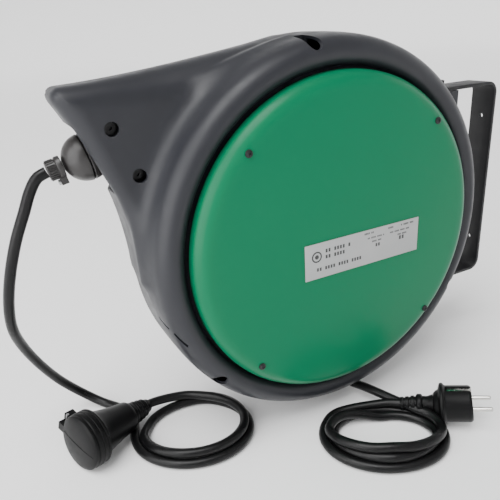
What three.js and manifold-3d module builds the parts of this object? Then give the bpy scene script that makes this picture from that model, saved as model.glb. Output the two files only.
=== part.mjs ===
// A wall-mounted spring-rewind extension cord reel, in millimetres, +Z up.
// The reel's green cover faces -Y, its cable mouth points to -X and its steel strap is screwed
// to a wall on the +X side. Points are written from the centre of the cover's rim, and the whole
// reel is moved at the end so that the origin is the centre of the strap's wall face.
import * as THREE from "three";
import { mergeVertices } from "three/addons/utils/BufferGeometryUtils.js";
import Module from "manifold-3d";

const wasm = await Module();
wasm.setup();

// ---- driving dimensions ----
const GAP = 0.3;
const COVER_R = 160;
const COVER_DOME = 10;
const CASE_R = 192;
const SPLIT_Y = 74;
const PANEL_Y = 36;
const REAR_PANEL_Y = 112;
const BACK_Y = 126;
const WALL = 3;
const SHELF_Y = 14;
const SHELF_HOLE_R = 122;
const TOP_Z = 162;
const STRAP_W = 33;
const STRAP_T = 4;
const STRAP_X = 266;
const STRAP_HALF_H = 122;
const PIVOT_X = 186;
const HUB_R = 95;
const FLANGE_R = 165;
const WINDING_R = 141;
const SHAFT_R = 10;
const BALL_R = 20.5;
const CORD_R = 5;
const FLOOR_Z = -205;
const SCREW_PITCH = 103.8;

const UP = new THREE.Vector3(0, 0, 1);
const vec = (x, y, z) => new THREE.Vector3(x, y, z);
const MOUTH_ANGLE = THREE.MathUtils.degToRad(203.5);
const MOUTH_OUT = vec(Math.cos(MOUTH_ANGLE), 0, Math.sin(MOUTH_ANGLE));
const MOUTH_DOWN = vec(-MOUTH_OUT.z, 0, MOUTH_OUT.x);
const BALL = vec(-218.5, SPLIT_Y, 105);
const STOPPER_DIR = vec(-0.976, 0, -0.218).normalize();
const ROLLERS = [
  { name: "upper", x: -201, z: 131 },
  { name: "lower", x: -184, z: 90 },
];
const CASE_SCREWS = [
  { name: "top", angle: 98, r: 186 },
  { name: "left", angle: 219, r: 183 },
  { name: "right", angle: 329, r: 183 },
];

// ---- solids ----
function solid(geometry) {
  const plain = geometry.clone();
  plain.deleteAttribute("normal");
  plain.deleteAttribute("uv");
  const merged = mergeVertices(plain, 1e-4);
  const index = Uint32Array.from(merged.index.array);
  const make = () =>
    new wasm.Manifold(
      new wasm.Mesh({
        numProp: 3,
        vertProperties: Float32Array.from(merged.attributes.position.array),
        triVerts: index,
      }),
    );
  const made = make();
  if (made.volume() >= 0) return made;
  for (let i = 0; i < index.length; i += 3) {
    [index[i + 1], index[i + 2]] = [index[i + 2], index[i + 1]];
  }
  return make();
}

function geometryOf(body) {
  const mesh = body.getMesh();
  const count = mesh.numProp;
  const position = new Float32Array(mesh.numVert * 3);
  for (let i = 0; i < mesh.numVert; i++) {
    position.set(mesh.vertProperties.subarray(i * count, i * count + 3), i * 3);
  }
  const geometry = new THREE.BufferGeometry();
  geometry.setAttribute("position", new THREE.BufferAttribute(position, 3));
  geometry.setIndex(new THREE.BufferAttribute(Uint32Array.from(mesh.triVerts), 1));
  return geometry;
}

const cut = (body, ...tools) => tools.reduce((b, t) => b.subtract(t), body);
const join = (body, ...others) => others.reduce((b, t) => b.add(t), body);

// A profile of [radius, y] pairs turned about the Y axis.
function turned(profile, segments = 32) {
  const points = profile.map(([r, y]) => new THREE.Vector2(r, y));
  return solid(new THREE.LatheGeometry(points, segments));
}

const ring = (inner, outer, y0, y1, segments) =>
  turned([[inner, y0], [outer, y0], [outer, y1], [inner, y1], [inner, y0]], segments);
const disc = (r, y0, y1, segments) => turned([[0, y0], [r, y0], [r, y1], [0, y1]], segments);

function box(x0, x1, y0, y1, z0, z1) {
  const geometry = new THREE.BoxGeometry(x1 - x0, y1 - y0, z1 - z0);
  geometry.translate((x0 + x1) / 2, (y0 + y1) / 2, (z0 + z1) / 2);
  return solid(geometry);
}

// The matrix that takes the local Y axis to dir and the local origin to a point.
function aim(point, dir, side = UP) {
  const y = dir.clone().normalize();
  const z = new THREE.Vector3().crossVectors(side, y).normalize();
  const x = new THREE.Vector3().crossVectors(y, z);
  return new THREE.Matrix4().makeBasis(x, y, z).setPosition(point);
}

function moved(body, matrix) {
  return solid(geometryOf(body).applyMatrix4(matrix));
}

const shifted = (body, x, y, z) => body.translate([x, y, z]);

function rod(from, dir, r, length, segments = 12) {
  return moved(disc(r, 0, length, segments), aim(from, dir, Math.abs(dir.z) > 0.9 ? vec(1, 0, 0) : UP));
}

// An outline in the XZ plane, given as a THREE.Shape, drawn out from y0 to y1.
function slab(shape, y0, y1, curveSegments = 6) {
  const geometry = new THREE.ExtrudeGeometry(shape, {
    depth: y1 - y0,
    bevelEnabled: false,
    curveSegments,
  });
  geometry.rotateX(Math.PI / 2);
  geometry.translate(0, y1, 0);
  return solid(geometry);
}

// Closed loops of the same number of points, joined in order and capped at both ends.
function loft(loops) {
  const count = loops[0].length;
  const position = loops.flatMap((loop) => loop.flatMap((p) => [p.x, p.y, p.z]));
  const index = [];
  for (let k = 0; k + 1 < loops.length; k++) {
    for (let i = 0; i < count; i++) {
      const a = k * count + i;
      const b = k * count + ((i + 1) % count);
      index.push(a, b, b + count, a, b + count, a + count);
    }
  }
  const cap = THREE.ShapeUtils.triangulateShape(
    loops[0].map((p) => new THREE.Vector2(p.x, p.z)),
    [],
  );
  const last = (loops.length - 1) * count;
  for (const [a, b, c] of cap) {
    index.push(c, b, a);
    index.push(last + a, last + b, last + c);
  }
  const geometry = new THREE.BufferGeometry();
  geometry.setAttribute("position", new THREE.Float32BufferAttribute(position, 3));
  geometry.setIndex(index);
  return solid(geometry);
}

// ---- the casing's nose ----
// Its outline at one depth: a hollow top edge, a round tip and the straight mouth face, set in by
// topIn and mouthIn from the outline at the split.
function noseOutline(y, topIn, mouthIn) {
  const top = TOP_Z - topIn;
  const bottom = vec(-205.6, 0, 78).addScaledVector(MOUTH_OUT, -mouthIn);
  const slope = MOUTH_DOWN.x / MOUTH_DOWN.z;
  const tip = vec(bottom.x + (top - bottom.z) * slope, 0, top);
  const round = 9;
  const path = new THREE.Path();
  const start = CASE_R - 4 - topIn;
  const radians = THREE.MathUtils.degToRad(101);
  const edge = vec(Math.cos(radians) * start, 0, Math.sin(radians) * start);
  path.moveTo(edge.x, edge.z);
  path.bezierCurveTo(edge.x - 59, edge.z - 9, tip.x + 74, top + 1, tip.x + round, top);
  const down = MOUTH_DOWN.clone().multiplyScalar(round).add(tip);
  path.quadraticCurveTo(tip.x, tip.z, down.x, down.z);
  path.lineTo(bottom.x, bottom.z);
  const end = CASE_R - 4 - mouthIn;
  path.bezierCurveTo(bottom.x + 8, bottom.z - 18, -end, 14, -end, -10);
  path.lineTo(-60, -10);
  const points = path.getPoints(5);
  return points.map((p) => vec(p.x, y, p.y));
}

function noseFront(inset) {
  const face = PANEL_Y + inset;
  const steps = [
    [0, 25, 13],
    [2, 15, 7],
    [8, 7, 3],
    [19, 1.5, 1],
    [SPLIT_Y - PANEL_Y + 1 - inset, 0, 0],
  ];
  return loft(steps.map(([y, top, mouth]) => noseOutline(face + y, top + inset, mouth + inset)));
}

function noseRear(inset) {
  const face = REAR_PANEL_Y - inset;
  const steps = [
    [SPLIT_Y - REAR_PANEL_Y - 1 + inset, 0.6, 0.6],
    [-14, 3, 2],
    [-5, 8, 5],
    [0, 18, 10],
  ];
  return loft(steps.map(([y, top, mouth]) => noseOutline(face + y, top + inset, mouth + inset)));
}

// ---- the casing ----
const FRONT_PROFILE = [
  [0, SHELF_Y],
  [COVER_R + 3, SHELF_Y],
  [COVER_R + 4.5, 7.5],
  [169, 2.5],
  [175, 1],
  [181.5, 4],
  [187, 12],
  [190.5, 26],
  [CASE_R, SPLIT_Y],
];

const REAR_PROFILE = [
  [CASE_R - 0.6, SPLIT_Y],
  [CASE_R - 2, SPLIT_Y + 12],
  [CASE_R - 7, SPLIT_Y + 27],
  [CASE_R - 18, SPLIT_Y + 41],
  [CASE_R - 36, BACK_Y - 3],
  [CASE_R - 60, BACK_Y],
  [0, BACK_Y],
];

// A shell's cavity: its profile moved in by the wall.
const FRONT_CAVITY = [
  [0, SHELF_Y + WALL],
  [COVER_R + 5, SHELF_Y + WALL],
  [COVER_R + 9, 7.5],
  [176, 5.5],
  [184, 14],
  [187.5, 34],
  [CASE_R - WALL, SPLIT_Y + 1],
  [0, SPLIT_Y + 1],
];

const REAR_CAVITY = [
  [0, SPLIT_Y - 1],
  [CASE_R - 0.6 - WALL, SPLIT_Y - 1],
  [CASE_R - 11, SPLIT_Y + 25],
  [CASE_R - 21, SPLIT_Y + 38],
  [CASE_R - 38, BACK_Y - 3 - WALL],
  [CASE_R - 60, BACK_Y - WALL],
  [0, BACK_Y - WALL],
];

// The hole in the mouth face, drawn out along the cable's way.
function mouthHole() {
  const hole = box(-34, 34, -40, 20, -27, 27);
  const frame = new THREE.Matrix4().makeBasis(MOUTH_DOWN, MOUTH_OUT, vec(0, 1, 0));
  return moved(hole, frame.setPosition(BALL));
}

const polar = (angle, r, y) => {
  const radians = THREE.MathUtils.degToRad(angle);
  return vec(Math.cos(radians) * r, y, Math.sin(radians) * r);
};
const along = vec(0, 1, 0);

function pivotLug(sign, y0, y1) {
  const z0 = 94;
  const z1 = STRAP_HALF_H - STRAP_T - 0.6;
  const [low, high] = sign > 0 ? [z0, z1] : [-z1, -z0];
  return box(150, PIVOT_X + 17, y0, y1, low, high);
}

const pivotHole = () => shifted(rod(vec(0, 0, -130), UP, 4.4, 260), PIVOT_X, SPLIT_Y, 0);

function frontShell() {
  const outer = join(
    turned([...FRONT_PROFILE, [0, SPLIT_Y]], 36),
    noseFront(0),
    pivotLug(1, SPLIT_Y - 16, SPLIT_Y + 1),
    pivotLug(-1, SPLIT_Y - 16, SPLIT_Y + 1),
  );
  const cavity = join(turned(FRONT_CAVITY, 36), noseFront(WALL));
  let shell = cut(outer, cavity, disc(SHELF_HOLE_R, 0, 40), mouthHole(), pivotHole());
  for (const roller of ROLLERS) {
    const boss = shifted(ring(6, 9, PANEL_Y + 1.5, PANEL_Y + 10, 20), roller.x, 0, roller.z);
    const bore = shifted(disc(6, PANEL_Y - 5, PANEL_Y + 20, 20), roller.x, 0, roller.z);
    shell = cut(join(shell, boss), bore);
  }
  for (const screw of CASE_SCREWS) {
    const at = polar(screw.angle, screw.r, 0);
    const post = shifted(disc(8, 34, 60, 16), at.x, 0, at.z);
    const inside = turned([[0, 34], [CASE_R - 1.5, 34], [CASE_R - 1, 60], [0, 60]]);
    const pocket = shifted(disc(5.5, -5, 50, 16), at.x, 0, at.z);
    const hole = shifted(disc(2.3, 40, 70, 12), at.x, 0, at.z);
    shell = cut(join(shell, post.intersect(inside)), pocket, hole);
  }
  for (const x of [-SCREW_PITCH, SCREW_PITCH]) {
    for (const z of [-SCREW_PITCH, SCREW_PITCH]) {
      shell = cut(shell, shifted(disc(2.3, 0, 40, 12), x, 0, z));
    }
  }
  for (const angle of [199.5, 209.5]) {
    const slot = moved(box(-8, 8, -1.5, 1.5, -8, 8), aim(polar(angle, CASE_R, 56), polar(angle, 1, 0)));
    shell = cut(shell, slot);
  }
  return cut(shell, box(-300, 300, SPLIT_Y - GAP / 2, SPLIT_Y + 50, -260, 260));
}

function rearShell() {
  const outer = join(
    turned([[0, SPLIT_Y], ...REAR_PROFILE], 36),
    noseRear(0),
    pivotLug(1, SPLIT_Y - 1, SPLIT_Y + 16),
    pivotLug(-1, SPLIT_Y - 1, SPLIT_Y + 16),
  );
  const cavity = join(turned(REAR_CAVITY, 36), noseRear(WALL));
  let shell = cut(outer, cavity, disc(SHAFT_R + GAP, 100, 140, 20), mouthHole(), pivotHole());
  const brow = box(-300, -150, SPLIT_Y, SPLIT_Y + 60, 60, 140);
  const back = moved(box(-60, 40, -5, 40, -60, 60), mouthFrame(-6));
  shell = cut(shell, brow.intersect(back));
  for (const roller of ROLLERS) {
    const boss = shifted(ring(3.2, 7, 102, REAR_PANEL_Y - 1.5, 20), roller.x, 0, roller.z);
    shell = join(shell, boss);
  }
  for (const screw of CASE_SCREWS) {
    const at = polar(screw.angle, screw.r, 0);
    const post = shifted(disc(6, 62, 90, 16), at.x, 0, at.z);
    const inside = turned([[0, 62], [CASE_R - 2.5, 62], [CASE_R - 6, 90], [0, 90]]);
    const hole = shifted(disc(2.3, 50, 84, 12), at.x, 0, at.z);
    shell = cut(join(shell, post.intersect(inside)), hole);
  }
  for (const angle of [30, 150, 270]) {
    const at = polar(angle, 48, 0);
    shell = cut(shell, shifted(disc(2.3, 100, 140, 12), at.x, 0, at.z));
  }
  return cut(shell, box(-300, 300, 0, SPLIT_Y + GAP / 2, -260, 260));
}

function mouthFrame(out) {
  const frame = new THREE.Matrix4().makeBasis(MOUTH_DOWN, MOUTH_OUT, vec(0, 1, 0));
  return frame.setPosition(BALL.clone().addScaledVector(MOUTH_OUT, out));
}

// The pressed green cover: a shallow pan with a turned rim.
function frontCover() {
  const t = 1.5;
  const pan = turned([
    [0, -COVER_DOME - 0.6],
    [147, -COVER_DOME + 0.2],
    [154.5, -COVER_DOME + 3.4],
    [COVER_R, -0.5],
    [COVER_R, 8],
    [COVER_R - t, 8],
    [COVER_R - t, 0],
    [153.4, -COVER_DOME + 4.9],
    [146.5, -COVER_DOME + 1.8],
    [0, -COVER_DOME + 0.9],
  ], 40);
  let cover = pan;
  for (const x of [-SCREW_PITCH, SCREW_PITCH]) {
    for (const z of [-SCREW_PITCH, SCREW_PITCH]) {
      cover = cut(cover, shifted(disc(2.3, -20, 5, 12), x, 0, z));
    }
  }
  return cover;
}

function coverScrew(x, z) {
  const head = turned([[0, -12.4], [2.4, -12.2], [3.6, -10.6], [3.6, -9.95], [0, -9.95]], 12);
  const shank = disc(1.9, -10.5, 22, 12);
  return shifted(join(head, shank), x, 0, z);
}

function caseScrew(screw) {
  const at = polar(screw.angle, screw.r, 0);
  const head = ring(1.6, 4.6, 35, 39.7, 16);
  const body = join(head, disc(4.6, 37.5, 39.7, 16), disc(1.9, 38, 80, 12));
  return shifted(body, at.x, 0, at.z);
}

// ---- the wall strap ----
function wallBracket() {
  const shape = new THREE.Shape();
  const bend = 14;
  const end = 160;
  const h = STRAP_HALF_H;
  const t = STRAP_T;
  shape.moveTo(end, -h);
  shape.absarc(STRAP_X - bend, -h + bend, bend, -Math.PI / 2, 0, false);
  shape.absarc(STRAP_X - bend, h - bend, bend, 0, Math.PI / 2, false);
  shape.lineTo(end, h);
  shape.lineTo(end, h - t);
  shape.absarc(STRAP_X - bend, h - bend, bend - t, Math.PI / 2, 0, true);
  shape.absarc(STRAP_X - bend, -h + bend, bend - t, 0, -Math.PI / 2, true);
  shape.lineTo(end, -h + t);
  shape.closePath();
  const strap = slab(shape, SPLIT_Y - STRAP_W / 2, SPLIT_Y + STRAP_W / 2, 7);
  const holes = [-80, 80].map((z) => rod(vec(STRAP_X - 10, SPLIT_Y, z), vec(1, 0, 0), 2.8, 20));
  return cut(strap, pivotHole(), ...holes);
}

function pivotBolt(sign) {
  const inner = 90;
  const shank = rod(vec(PIVOT_X, SPLIT_Y, sign * inner), vec(0, 0, sign), 4, STRAP_HALF_H - inner + 1, 16);
  const washer = rod(vec(PIVOT_X, SPLIT_Y, sign * (STRAP_HALF_H + GAP)), vec(0, 0, sign), 9, 1.6, 20);
  const head = rod(vec(PIVOT_X, SPLIT_Y, sign * (STRAP_HALF_H + 1)), vec(0, 0, sign), 7.4, 6, 6);
  return join(shank, washer, head);
}

// ---- the drum ----
function drumHub() {
  return turned([
    [HUB_R, 33.3],
    [HUB_R, 96.7],
    [60, 96.7],
    [60, 93.7],
    [HUB_R - 3, 93.7],
    [HUB_R - 3, 66.5],
    [18, 66.5],
    [18, 94],
    [14, 94],
    [14, 34],
    [18, 34],
    [18, 63],
    [HUB_R - 3, 63],
    [HUB_R - 3, 33.3],
    [HUB_R, 33.3],
  ]);
}

const drumFlange = (inner, y0, y1) => ring(inner, FLANGE_R, y0, y1);
const cableWinding = () => ring(HUB_R + GAP, WINDING_R, 33.4, 96.6);

function springCase() {
  return turned([
    [19, 58.5],
    [60, 58.5],
    [60, 40],
    [62.5, 40],
    [62.5, 61],
    [19, 61],
    [19, 58.5],
  ], 28);
}

// A flat spring wound in four turns, from the arbor out to its case.
function mainspring() {
  const inner = [];
  const outer = [];
  const turns = 4;
  const perTurn = 12;
  for (let i = 0; i <= turns * perTurn; i++) {
    const angle = (i / perTurn) * Math.PI * 2;
    const r = 22 + (34 * i) / (turns * perTurn);
    inner.push(new THREE.Vector2(Math.cos(angle) * r, Math.sin(angle) * r));
    outer.push(new THREE.Vector2(Math.cos(angle) * (r + 1.6), Math.sin(angle) * (r + 1.6)));
  }
  return slab(new THREE.Shape([...outer, ...inner.reverse()]), 42, 57);
}

function mainShaft() {
  return join(disc(SHAFT_R, 20, BACK_Y + 15, 20), disc(13.5, 24, 29, 20));
}

const shaftBush = (y0) => ring(SHAFT_R + 0.3, 13.7, y0, y0 + 12, 20);

function ratchetWheel() {
  const shape = new THREE.Shape();
  const teeth = 12;
  const pitch = 360 / teeth;
  for (let i = 0; i < teeth; i++) {
    for (const [step, r] of [[0, 98], [12, 98], [14, 88], [28, 88]]) {
      const at = polar(53 + i * pitch + step, r, 0);
      if (i === 0 && step === 0) shape.moveTo(at.x, at.z);
      else shape.lineTo(at.x, at.z);
    }
  }
  shape.closePath();
  return cut(slab(shape, 24, 28), disc(78, 0, 40));
}

const PAWL = polar(60, 118, 0);

function pawl() {
  const reach = polar(191, 32, 0);
  const side = polar(101, 1, 0);
  const shape = new THREE.Shape();
  const points = [
    [0, 5.6],
    [1, 2.2],
    [1, -2.2],
    [0.15, -4.5],
    [-0.17, 0],
  ];
  points.forEach(([t, w], i) => {
    const x = PAWL.x + reach.x * t + side.x * w;
    const z = PAWL.z + reach.z * t + side.z * w;
    if (i === 0) shape.moveTo(x, z);
    else shape.lineTo(x, z);
  });
  shape.closePath();
  const body = join(slab(shape, 24, 28), shifted(disc(6.5, 24, 28, 16), PAWL.x, 0, PAWL.z));
  return cut(body, shifted(disc(3.3, 0, 40, 16), PAWL.x, 0, PAWL.z));
}

function pawlPin() {
  return shifted(join(disc(3, 17.4, 28.8, 16), disc(5, 28.4, 29.4, 16)), PAWL.x, 0, PAWL.z);
}

// ---- the slip-ring collector ----
const RING_Y = [103.5, 109, 114.5];
const slipRing = (y) => ring(18, 24, y, y + 3.5, 20);
const brush = (y) => box(-3, 3, y + 0.4, y + 3.1, 24.5, 40);

function brushHolder() {
  const block = box(-9, 9, 102.5, BACK_Y - WALL - GAP, 29, 52);
  const slots = RING_Y.map((y) => box(-3.3, 3.3, y + 0.1, y + 3.4, 20, 40.4));
  return cut(block, ...slots);
}

// The round rear cover over the shaft's end, with the spigot that the supply lead's gland screws
// into.
const GLAND_Y = 139;

function rearCover() {
  const cup = turned(
    [
      [0, 148],
      [52, 148],
      [52, BACK_Y + GAP],
      [56, BACK_Y + GAP],
      [56, 147],
      [53, 152],
        [0, 152],
    ],
    28,
  );
  const bore = rod(vec(0, GLAND_Y, -40), vec(0, 0, -1), 8.3, 30, 16);
  const spigot = rod(vec(0, GLAND_Y, -48), vec(0, 0, -1), 12, 14, 16);
  let cover = cut(join(cup, spigot), bore);
  for (const angle of [30, 150, 270]) {
    const at = polar(angle, 48, 0);
    if (angle !== 270) cover = join(cover, shifted(ring(2.3, 5, BACK_Y + GAP, 149, 12), at.x, 0, at.z));
  }
  return cut(cover, box(-60, 60, 100, BACK_Y + GAP, -70, 70));
}

function supplyGland() {
  const dir = vec(0, 0, -1);
  const side = vec(1, 0, 0);
  const body = turned([
    [CORD_R + GAP, -18],
    [8, -18],
    [8, GAP],
    [11.5, GAP],
    [11.5, 12],
    [8.5, 18],
    [7, 24],
    [CORD_R + 1, 34],
    [CORD_R + GAP, 34],
    [CORD_R + GAP, -18],
  ], 20);
  return moved(body, aim(vec(0, GLAND_Y, -62), dir, side));
}

// ---- the cable mouth ----
function guideRoller(roller) {
  const profile = [[3.3, 50], [9.5, 50], [8.2, 62], [7.6, SPLIT_Y], [8.2, 86], [9.5, 98], [3.3, 98], [3.3, 50]];
  return shifted(turned(profile, 24), roller.x, 0, roller.z);
}

function rollerScrew(roller) {
  const head = ring(1.8, 5.4, PANEL_Y + 7, PANEL_Y + 11.5, 20);
  const screw = join(head, disc(5.4, PANEL_Y + 9, PANEL_Y + 11.5, 20), disc(3, PANEL_Y + 10, 107, 16));
  return shifted(screw, roller.x, 0, roller.z);
}

const stopperFrame = () => aim(BALL, STOPPER_DIR);

function stopperHalf(sign) {
  const ball = solid(new THREE.SphereGeometry(BALL_R, 20, 12));
  const half = sign > 0 ? box(-30, 30, GAP / 2, 30, -30, 30) : box(-30, 30, -30, -GAP / 2, -30, 30);
  return moved(cut(ball.intersect(half), disc(CORD_R + GAP, -40, 40, 16)), stopperFrame());
}

function stopperCollar() {
  const collar = turned([
    [CORD_R + GAP, 20.9],
    [9.6, 20.9],
    [9.6, 25],
    [8.2, 26],
    [8.2, 34],
    [CORD_R + GAP, 34],
    [CORD_R + GAP, 20.9],
  ], 20);
  const ear = box(-14.5, -7.5, 21, 27.5, -4.5, 4.5);
  return moved(cut(join(collar, ear), box(-16, -10, 22.5, 26, -2, 2)), stopperFrame());
}

function clampScrew() {
  const screw = join(disc(1.6, 0, 3, 10), disc(1.6, 2.5, 10.5, 10));
  return moved(screw, stopperFrame().multiply(new THREE.Matrix4().makeTranslation(-13, 28, 0)));
}

// The cable's stretch inside the casing, from the stopper to the top of the winding.
function innerLead() {
  const from = BALL.clone().addScaledVector(STOPPER_DIR, 20);
  return rod(from, STOPPER_DIR.clone().negate(), CORD_R, 210, 12);
}

// ---- cords ----
// Coils lie as ellipses whose long axis runs along COIL_LONG.
const COIL_LONG = vec(0.8875, -0.4608, 0);
const COIL_DEEP = vec(0.4608, 0.8875, 0);

const OUTLET_LEAD = [
  [-252.4, SPLIT_Y, 97.4],
  [-260.5, SPLIT_Y, 94],
  [-268, 75, 84],
  [-276.5, 76, 66.5],
  [-288, 79, 42],
  [-299, 84, 11],
  [-306.5, 93, -21],
  [-309, 106, -51],
  [-304.5, 126, -84],
  [-292, 146, -124],
  [-276, 161, -160],
  [-259, 163, -187],
  [-246, 152, -198],
  [-238, 136, -200],
  [-232, 116, -200],
];

const SUPPLY_LEAD = [
  [0, GLAND_Y, -96.3],
  [0, GLAND_Y, -118],
  [1, 139.5, -142],
  [3, 138, -163],
  [7, 129, -183],
  [12, 113, -196],
  [17, 94, -200],
  [22, 74, -200],
  [26, 54, -200],
  [28, 34, -200],
  [29, 16, -200],
  [32, 2, -200],
];

function cordTube(points) {
  const path = new THREE.CatmullRomCurve3(points.map((p) => vec(...p)), false, "centripetal");
  const section = new THREE.Shape();
  const sides = 10;
  for (let i = 0; i < sides; i++) {
    const angle = (i / sides) * Math.PI * 2;
    const x = Math.cos(angle) * CORD_R;
    const y = Math.sin(angle) * CORD_R;
    if (i === 0) section.moveTo(x, y);
    else section.lineTo(x, y);
  }
  section.closePath();
  const steps = Math.round(path.getLength() / 26);
  const geometry = new THREE.ExtrudeGeometry(section, { steps, extrudePath: path, bevelEnabled: false });
  return cut(solid(geometry), box(-600, 600, -600, 600, FLOOR_Z - 50, FLOOR_Z));
}

// A coil's outer shape: a ring scaled to the ellipse, laid on the floor.
function coilRing(centre, outerA, outerB, width, top) {
  const body = turned([
    [outerA - width, 2],
    [outerA - width + 2, 0],
    [outerA - 2, 0],
    [outerA, 2],
    [outerA, top - 4],
    [outerA - 4, top],
    [outerA - width + 3, top],
    [outerA - width, top - 3],
    [outerA - width, 2],
  ], 28);
  const squeeze = new THREE.Matrix4().makeScale(1, 1, outerB / outerA);
  const basis = new THREE.Matrix4().makeBasis(COIL_LONG, UP, COIL_DEEP.clone().negate());
  return moved(body, basis.setPosition(centre).multiply(squeeze));
}

// ---- the socket on the outlet cord ----
const SOCKET_FACE = vec(-278, 63, -174.5);
const SOCKET_TURN = THREE.MathUtils.degToRad(25);
const SOCKET_DROP = THREE.MathUtils.degToRad(8);
const SOCKET_DIR = vec(
  Math.cos(SOCKET_TURN) * Math.cos(SOCKET_DROP),
  Math.sin(SOCKET_TURN) * Math.cos(SOCKET_DROP),
  -Math.sin(SOCKET_DROP),
);
const HINGE_ANGLE = THREE.MathUtils.degToRad(13);
const HINGE_R = 31.5;
const LEVEL = vec(-Math.sin(SOCKET_TURN), Math.cos(SOCKET_TURN), 0);
const TILT_UP = new THREE.Vector3().crossVectors(SOCKET_DIR, LEVEL).normalize();
const HINGE_SIDE = LEVEL.clone()
  .multiplyScalar(Math.cos(HINGE_ANGLE))
  .addScaledVector(TILT_UP, Math.sin(HINGE_ANGLE));
// Local axes: X towards the lid's hinge, Y from the face to the cable, Z along the hinge pin.
const SOCKET_FRAME = new THREE.Matrix4()
  .makeBasis(HINGE_SIDE, SOCKET_DIR, new THREE.Vector3().crossVectors(HINGE_SIDE, SOCKET_DIR))
  .setPosition(SOCKET_FACE);

function socketBody() {
  let body = turned([
    [20.3, 5],
    [28, 5],
    [29, 6.5],
    [29, 19],
    [26.5, 21],
    [24, 24],
    [21.5, 30],
    [17.5, 50],
    [15.5, 61],
    [13, 65],
    [6.3, 65],
    [6.3, 40],
    [20.3, 25],
    [20.3, 5],
  ], 28);
  const ears = box(24, HINGE_R + 3.2, 7, 16, -12, 12);
  const slot = box(27.6, 45, 0, 20, -4.9, 4.9);
  body = cut(join(body, ears), slot, hingeBore(1.9));
  return moved(body, SOCKET_FRAME);
}

const HINGE_DEPTH = 8.5;
const hingeBore = (r) => rod(vec(HINGE_R, HINGE_DEPTH, -20), vec(0, 0, 1), r, 40, 12);

// The contact carrier: a round cup with two pin holes and side grooves for the earth strips.
function socketInsert() {
  const cup = turned([
    [0, 37],
    [9, 34],
    [18, 26],
    [20, 24.2],
    [20, 5.3],
    [19.2, 4.9],
    [18.6, 4.9],
    [18.6, 21.5],
    [0, 21.5],
  ], 24);
  const holes = [-9.5, 9.5].map((x) => shifted(disc(2.6, 10, 34, 12), x, 0, 0));
  return moved(cut(cup, ...holes), SOCKET_FRAME);
}

// The hinged lid: a domed disc with a knuckle between the body's ears.
function socketLid() {
  const dome = turned([
    [0, -1.6],
    [14, -1.2],
    [24, -0.1],
    [28.2, 1.6],
    [28.6, 4.4],
    [0, 4.4],
  ], 28);
  const arm = box(22, HINGE_R, 0.6, 4.3, -4.5, 4.5);
  const knuckle = rod(vec(HINGE_R, HINGE_DEPTH, -4.5), vec(0, 0, 1), 3.4, 9, 16);
  const neck = box(HINGE_R - 2.2, HINGE_R + 3, 0.6, HINGE_DEPTH - 1, -4.5, 4.5);
  const lid = join(dome, arm, knuckle, neck);
  return moved(cut(lid, hingeBore(1.9)), SOCKET_FRAME);
}

const lidPin = () => moved(rod(vec(HINGE_R, HINGE_DEPTH, -12), vec(0, 0, 1), 1.5, 24, 12), SOCKET_FRAME);

function socketRelief() {
  const boot = turned([
    [CORD_R + GAP, 66],
    [12.5, 66],
    [12.5, 70],
    [10.5, 72],
    [9, 80],
    [7, 92],
    [CORD_R + GAP, 92],
    [CORD_R + GAP, 66],
  ], 24);
  return moved(boot, SOCKET_FRAME);
}

// ---- the plug on the supply cord ----
const PLUG_START = vec(46, -41, -190);
const PLUG_DIR = vec(0.72, -0.675, 0.15).normalize();
const PLUG_FRAME = aim(PLUG_START, PLUG_DIR);

function plugBody() {
  const body = turned([
    [0, 34.5],
    [10, 34.5],
    [14, 38],
    [20.5, 41],
    [20.5, 45],
    [18.8, 47],
    [18.8, 71],
    [17, 73],
    [0, 73],
  ], 32);
  const grooves = [1, -1].map((s) => box(s > 0 ? 15.5 : -20, s > 0 ? 20 : -15.5, 48, 75, -3.3, 3.3));
  return moved(cut(body, ...grooves), PLUG_FRAME);
}

function plugPin(sign) {
  const pin = turned([[0, 73.3], [2.4, 73.3], [2.4, 90.5], [1.4, 92.3], [0, 92.3]], 14);
  return moved(shifted(pin, 0, 0, sign * 9.5), PLUG_FRAME);
}

function plugEarth(sign) {
  const strip = sign > 0 ? box(15.9, 17.4, 49, 73, -2.8, 2.8) : box(-17.4, -15.9, 49, 73, -2.8, 2.8);
  return moved(strip, PLUG_FRAME);
}

function plugRelief() {
  const boot = turned([
    [CORD_R + GAP, 0.3],
    [6.6, 0.3],
    [7.6, 10],
    [9, 20],
    [9.6, 34.2],
    [CORD_R + GAP, 34.2],
    [CORD_R + GAP, 0.3],
  ], 24);
  return moved(boot, PLUG_FRAME);
}

// ---- finishes ----
const finish = (color, roughness, metalness = 0) =>
  new THREE.MeshStandardMaterial({ color, roughness, metalness });
const CASING = finish(0x3e4048, 0.5);
const GREEN = finish(0x008a5e, 0.3);
const LABEL = finish(0xc9cacb, 0.4, 0.3);
const BLACK_STEEL = finish(0x141416, 0.45, 0.6);
const ZINC = finish(0x9a9da0, 0.35, 0.9);
const STEEL = finish(0x8a8c90, 0.3, 1);
const BRASS = finish(0xb5933f, 0.3, 1);
const NICKEL = finish(0xc4c4c2, 0.2, 1);
const DRUM = finish(0x26282b, 0.55);
const NYLON = finish(0xd8d5c8, 0.5);
const RUBBER = finish(0x161617, 0.6);
const STOPPER = finish(0x3b3836, 0.45);

const reel = new THREE.Group();
reel.position.set(-STRAP_X, -SPLIT_Y, 0);

function add(name, body, material) {
  const mesh = new THREE.Mesh(geometryOf(body), material);
  mesh.name = name;
  reel.add(mesh);
}

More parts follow.
